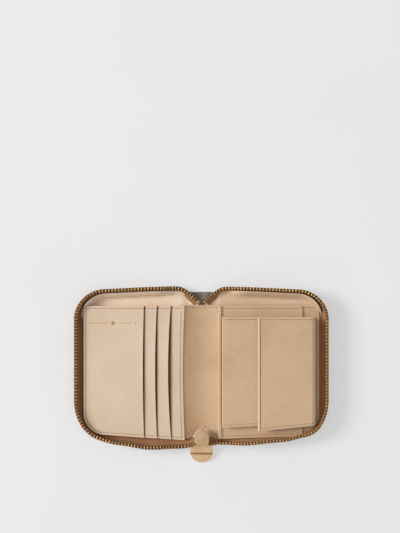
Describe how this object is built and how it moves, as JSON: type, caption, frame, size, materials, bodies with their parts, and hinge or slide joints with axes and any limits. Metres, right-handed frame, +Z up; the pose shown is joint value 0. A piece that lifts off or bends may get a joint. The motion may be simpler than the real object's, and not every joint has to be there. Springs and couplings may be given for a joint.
{
  "type": "zip-around wallet",
  "caption": "Small zip-around bifold wallet lying open: card pockets on one half, a flapped coin pouch on the other, with a slider and a round pull at the spine.",
  "frame": {"origin": "middle of the underside of the outer spine, where the open wallet rests", "axes": "+Z up; +X from the card half to the coin half; +Y along the spine, away from the slider"},
  "size_m": [0.1766, 0.1229, 0.0121],
  "materials": {
    "coated_canvas": "matt coated weave, taupe",
    "leather_pale": "smooth, semi-matt, fine grain",
    "leather_tan": "smooth, semi-matt, fine grain",
    "leather_lining": "smooth lining, semi-matt",
    "board": "raw grey board",
    "zip_tape": "herringbone woven tape",
    "zip_brass": "satin antique brass",
    "slider_gold": "polished pale gold plate"
  },
  "bodies": {
    "spine": {"outer_spine": "coated_canvas", "spine_lining": "leather_lining", "spine_panel": "leather_tan", "zip_top_end_left": "zip_brass", "zip_top_stop_left": "zip_brass", "zip_top_end_right": "zip_brass", "zip_top_stop_right": "zip_brass"},
    "left_half": {"outer_cover_left": "coated_canvas", "cover_board_left": "board", "lining_left": "leather_lining", "zip_tape_left": "zip_tape", "zip_chain_left": "zip_brass", "base_panel_left": "leather_pale", "card_pocket_left_1": "leather_pale", "card_pocket_left_2": "leather_pale", "card_pocket_left_3": "leather_pale"},
    "right_half": {"outer_cover_right": "coated_canvas", "cover_board_right": "board", "lining_right": "leather_lining", "zip_tape_right": "zip_tape", "zip_chain_right": "zip_brass", "base_panel_right": "leather_tan", "card_pocket_right": "leather_tan", "edge_band": "leather_tan", "coin_pouch_back": "leather_tan", "coin_pouch_wall": "leather_tan", "coin_gusset_head": "leather_tan", "coin_gusset_tail": "leather_tan"},
    "coin_front": {"coin_pouch_front": "leather_tan", "snap_stud": "zip_brass"},
    "coin_flap": {"coin_flap": "leather_tan", "coin_flap_lining": "leather_lining", "snap_socket": "zip_brass"},
    "zip_end": {"zip_chain_end": "zip_brass", "zip_bottom_stop": "zip_brass"},
    "slider": {"slider_body": "slider_gold", "slider_bridge": "slider_gold"},
    "pull": {"pull_disc": "slider_gold"}
  },
  "joints": [
    {"name": "left_fold", "type": "hinge", "parent": "spine", "child": "left_half", "pos_m": [-0.0105, 0, 0.002], "axis": [0, 1, 0], "range_deg": [0, 90]},
    {"name": "right_fold", "type": "hinge", "parent": "spine", "child": "right_half", "pos_m": [0.0105, 0, 0.002], "axis": [0, -1, 0], "range_deg": [0, 90]},
    {"name": "coin_flap_open", "type": "hinge", "parent": "right_half", "child": "coin_flap", "pos_m": [0.0791, 0, 0.0103], "axis": [0, -1, 0], "range_deg": [-105, 0]},
    {"name": "coin_front_lift", "type": "hinge", "parent": "right_half", "child": "coin_front", "pos_m": [0.0142, 0, 0.0092], "axis": [0, 1, 0], "range_deg": [-6.3, 0]},
    {"name": "zip_tip", "type": "hinge", "parent": "spine", "child": "zip_end", "pos_m": [0, -0.0491, 0.0151], "axis": [-1, 0, 0], "range_deg": [0, 90]},
    {"name": "zip_travel", "type": "slide", "parent": "zip_end", "child": "slider", "axis": [0, -1, 0], "range_m": [0, 0.022]},
    {"name": "pull_swing", "type": "hinge", "parent": "slider", "child": "pull", "pos_m": [0, -0.05175, 0.00505], "axis": [1, 0, 0], "range_deg": [0, 50]}
  ],
  "couplings": [
    {"joint": "coin_front_lift", "follows": "coin_flap_open", "ratio": 0.06},
    {"joint": "zip_travel", "follows": "zip_tip", "m_per_rad": 0.014}
  ]
}
